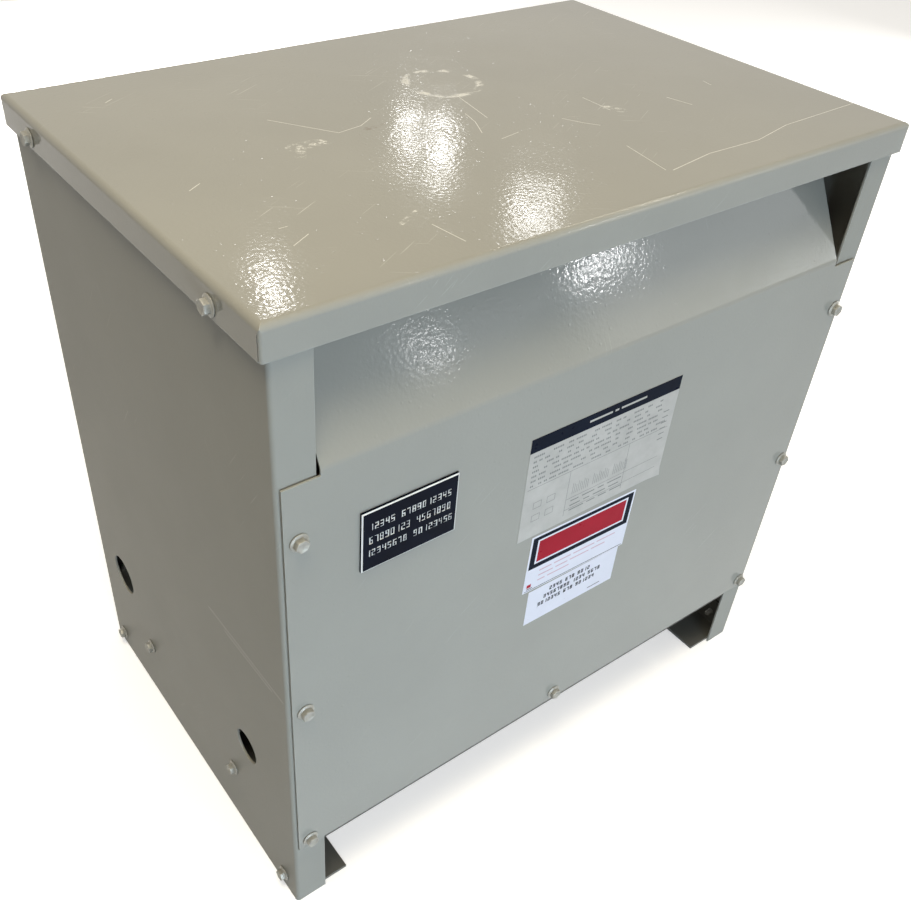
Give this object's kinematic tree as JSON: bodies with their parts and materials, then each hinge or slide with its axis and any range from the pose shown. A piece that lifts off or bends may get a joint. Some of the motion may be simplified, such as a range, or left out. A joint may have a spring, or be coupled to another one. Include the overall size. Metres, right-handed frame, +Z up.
{
  "type": "three-phase dry-type transformer",
  "caption": "Floor-standing ventilated sheet-metal enclosure with sloped air slots under a flanged lid, round a three-leg core with coils, clamps and terminal boards.",
  "frame": {"origin": "on the floor, midway across and deep under the enclosure", "axes": "+Z up, front cover towards -Y, +X to the right seen from the front"},
  "size_m": [0.6332, 0.4276, 0.633],
  "materials": {
    "enclosure_paint": "glossy light grey enamel with light orange peel, scuffs and scratches",
    "fastener_zinc": "dull zinc plate",
    "pad_rubber": "matt black",
    "core_steel": "varnished lamination edges",
    "clamp_paint": "satin dark grey",
    "inner_insulation": "varnished insulating paper",
    "outer_varnish": "baked brown varnish over wound wire",
    "spacer_board": "pressed insulating board",
    "terminal_board_red": "moulded glass polyester",
    "bar_aluminium": "plain rolled bar",
    "engraved_laminate": "black engraving laminate with a pale core",
    "plate_foil": "thin metal foil plate, printed and lacquered",
    "sticker_vinyl": "white vinyl sticker"
  },
  "bodies": {
    "root": {"side_panel_left": "enclosure_paint", "side_panel_right": "enclosure_paint", "front_cover": "enclosure_paint", "rear_cover": "enclosure_paint", "top_cover": "enclosure_paint", "foot_angle_left": "enclosure_paint", "foot_angle_right": "enclosure_paint", "front_sill": "enclosure_paint", "rear_sill": "enclosure_paint", "front_cover_screws": "fastener_zinc", "rear_cover_screws": "fastener_zinc", "top_cover_screws": "fastener_zinc", "side_screws": "fastener_zinc", "front_core_rail": "enclosure_paint", "rear_core_rail": "enclosure_paint", "isolation_pads": "pad_rubber", "core": "core_steel", "inner_winding_a": "inner_insulation", "inner_winding_b": "inner_insulation", "inner_winding_c": "inner_insulation", "outer_winding_a": "outer_varnish", "outer_winding_b": "outer_varnish", "outer_winding_c": "outer_varnish", "duct_sticks": "spacer_board", "lower_coil_blocks": "spacer_board", "upper_coil_blocks": "spacer_board", "lower_front_clamp": "clamp_paint", "lower_rear_clamp": "clamp_paint", "upper_front_clamp": "clamp_paint", "upper_rear_clamp": "clamp_paint", "tie_studs": "fastener_zinc", "front_board_brackets": "enclosure_paint", "rear_board_brackets": "enclosure_paint", "front_terminal_board": "terminal_board_red", "rear_terminal_board": "terminal_board_red", "low_voltage_leads": "bar_aluminium", "high_voltage_leads": "bar_aluminium", "neutral_bar": "bar_aluminium", "ground_strap": "bar_aluminium", "engraved_plate": "engraved_laminate"}
  },
  "joints": []
}
